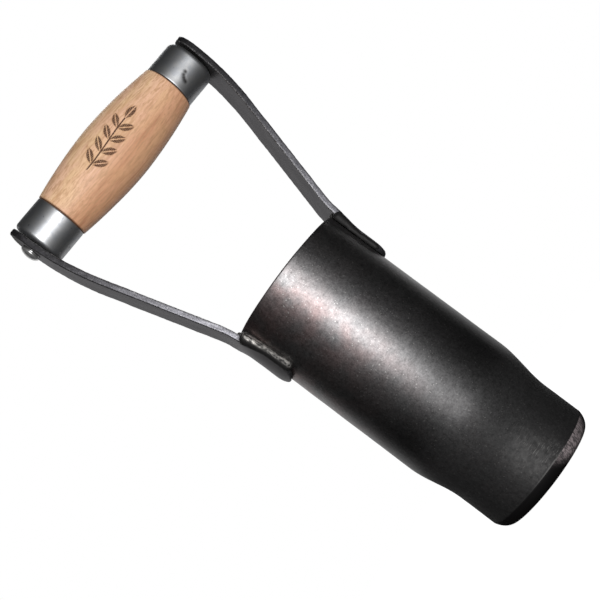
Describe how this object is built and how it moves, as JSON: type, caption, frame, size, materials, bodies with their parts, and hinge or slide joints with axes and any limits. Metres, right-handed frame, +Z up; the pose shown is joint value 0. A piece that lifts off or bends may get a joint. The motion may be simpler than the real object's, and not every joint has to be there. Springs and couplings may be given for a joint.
{
  "type": "bulb planter",
  "caption": "Hand bulb planter: steel coring tube with a ground edge, welded flat steel arms and a turned wooden grip with steel ferrules on a riveted rod.",
  "frame": {"origin": "centre of the cutting edge's circle, on the ground that the edge stands on", "axes": "+Z up the tube's axis towards the grip, +X along the grip towards the shorter arm (the picture's upper right), Y across"},
  "size_m": [0.1282, 0.07, 0.2642],
  "materials": {
    "tube_steel": "blackened, satin, finely speckled",
    "arm_steel": "forged mill scale with worn bright edges",
    "weld_metal": "brushed weld bead, partly darkened",
    "ferrule_steel": "drawn, satin",
    "ash_wood": "turned, fine sanded, lightly oiled"
  },
  "bodies": {
    "frame": {"planter_tube": "tube_steel", "left_arm": "arm_steel", "right_arm": "arm_steel", "left_front_weld": "weld_metal", "left_rear_weld": "weld_metal", "left_rim_weld": "weld_metal", "right_front_weld": "weld_metal", "right_rear_weld": "weld_metal", "right_rim_weld": "weld_metal", "grip_rivet": "ferrule_steel"},
    "grip": {"wood_grip": "ash_wood", "left_ferrule": "ferrule_steel", "right_ferrule": "ferrule_steel"}
  },
  "joints": [
    {"name": "grip_turn", "type": "hinge", "parent": "frame", "child": "grip", "pos_m": [0, 0, 0.2472], "axis": [1, 0, 0], "continuous": true}
  ]
}
